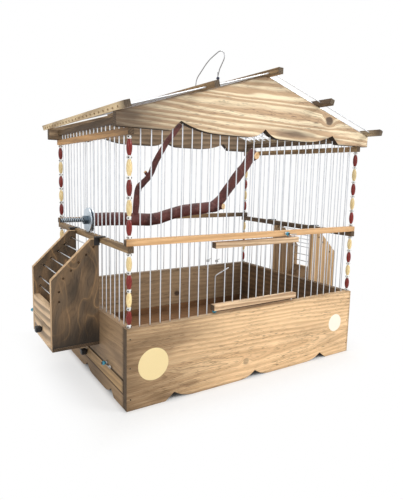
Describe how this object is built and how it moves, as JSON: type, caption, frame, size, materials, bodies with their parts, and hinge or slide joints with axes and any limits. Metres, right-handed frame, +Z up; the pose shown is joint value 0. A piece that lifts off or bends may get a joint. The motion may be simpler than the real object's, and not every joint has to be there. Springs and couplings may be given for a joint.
{
  "type": "bird cage",
  "caption": "Wooden bird cage with wire walls and a low gabled roof, a hinged front door, a slide-out tray, a feeder box with a drawer on each end, a branch perch and a carrying bail",
  "frame": {"origin": "middle of the overall box at floor level, which is also the middle of the base's footprint", "axes": "+X to the right along the front with the door, +Y from the front to the back, +Z up"},
  "size_m": [0.4814, 0.305, 0.4187],
  "materials": {
    "pine": "varnished pine with a warm, uneven stain",
    "dark_pine": "dark stained pine",
    "wire": "galvanised wire",
    "zinc": "zinc plate",
    "red_bead": "glossy dark red",
    "cream_bead": "glossy cream",
    "pale_bead": "glossy off-white",
    "teal_bead": "glossy teal",
    "black_wood": "black painted wood",
    "black_metal": "black paint",
    "bark": "dark red-brown bark"
  },
  "bodies": {
    "cage": {"base_front_board": "pine", "base_back_board": "pine", "left_end_board": "pine", "left_apron": "pine", "right_end_board": "pine", "tray_runners": "pine", "front_mid_rail": "pine", "back_mid_rail": "pine", "side_mid_rails": "pine", "side_top_rails": "pine", "front_gable": "pine", "rear_gable": "pine", "ridge_batten": "pine", "mid_battens": "pine", "eave_battens": "pine", "left_feeder_panels": "pine", "right_feeder_panels": "pine", "left_feeder_boards": "pine", "right_feeder_boards": "pine", "eave_strips": "dark_pine", "front_wires": "wire", "back_wires": "wire", "left_wires": "wire", "right_wires": "wire", "corner_wires": "wire", "left_roof_wires": "wire", "right_roof_wires": "wire", "door_hinge_wire": "wire", "latch_nails": "wire", "feeder_bars": "wire", "bail_eyes": "wire", "perch_bolt": "zinc", "perch_nut": "zinc", "perch_washers": "zinc", "red_beads": "red_bead", "cream_beads": "cream_bead", "spacer_beads": "pale_bead", "latch_beads": "teal_bead", "feeder_hangers": "black_metal", "perch_branch": "bark"},
    "tray": {"tray_front": "pine", "tray_floor": "pine", "tray_rims": "pine", "tray_knob": "black_wood"},
    "tray_latch_arm": {"tray_latch": "wire"},
    "door": {"door_lower_stick": "pine", "door_upper_stick": "pine", "door_wires": "wire"},
    "door_latch_arm": {"door_latch": "wire"},
    "door_catch_arm": {"door_catch": "wire"},
    "left_drawer_box": {"left_drawer": "pine", "left_drawer_knob": "black_wood"},
    "right_drawer_box": {"right_drawer": "pine", "right_drawer_knob": "black_wood"},
    "left_lock": {"left_lock_pin": "wire"},
    "right_lock": {"right_lock_pin": "wire"},
    "bail_loop": {"bail": "wire"}
  },
  "joints": [
    {"name": "tray_slide", "type": "slide", "parent": "cage", "child": "tray", "axis": [-1, 0, 0], "range_m": [0, 0.28]},
    {"name": "tray_latch_turn", "type": "hinge", "parent": "cage", "child": "tray_latch_arm", "pos_m": [-0.176, -0.073, 0.0357], "axis": [-1, 0, 0], "range_deg": [-90, 0]},
    {"name": "door_hinge", "type": "hinge", "parent": "cage", "child": "door", "pos_m": [0.06089, -0.124, 0.135], "axis": [0, 0, 1], "range_deg": [0, 110]},
    {"name": "door_latch_turn", "type": "hinge", "parent": "door", "child": "door_latch_arm", "pos_m": [-0.06089, -0.12185, 0.1], "axis": [0, 0, 1], "range_deg": [0, 175]},
    {"name": "door_catch_turn", "type": "hinge", "parent": "cage", "child": "door_catch_arm", "pos_m": [0.0415, -0.128, 0.1819], "axis": [0, 1, 0], "range_deg": [0, 90]},
    {"name": "left_drawer_slide", "type": "slide", "parent": "cage", "child": "left_drawer_box", "axis": [-1, 0, 0], "range_m": [0, 0.045]},
    {"name": "right_drawer_slide", "type": "slide", "parent": "cage", "child": "right_drawer_box", "axis": [1, 0, 0], "range_m": [0, 0.045]},
    {"name": "left_lock_slide", "type": "slide", "parent": "cage", "child": "left_lock", "axis": [0, -1, 0], "range_m": [0, 0.0035]},
    {"name": "right_lock_slide", "type": "slide", "parent": "cage", "child": "right_lock", "axis": [0, -1, 0], "range_m": [0, 0.0035]},
    {"name": "bail_swing", "type": "hinge", "parent": "cage", "child": "bail_loop", "pos_m": [0, 0, 0.37706], "axis": [0, 1, 0], "range_deg": [-75, 75]}
  ]
}
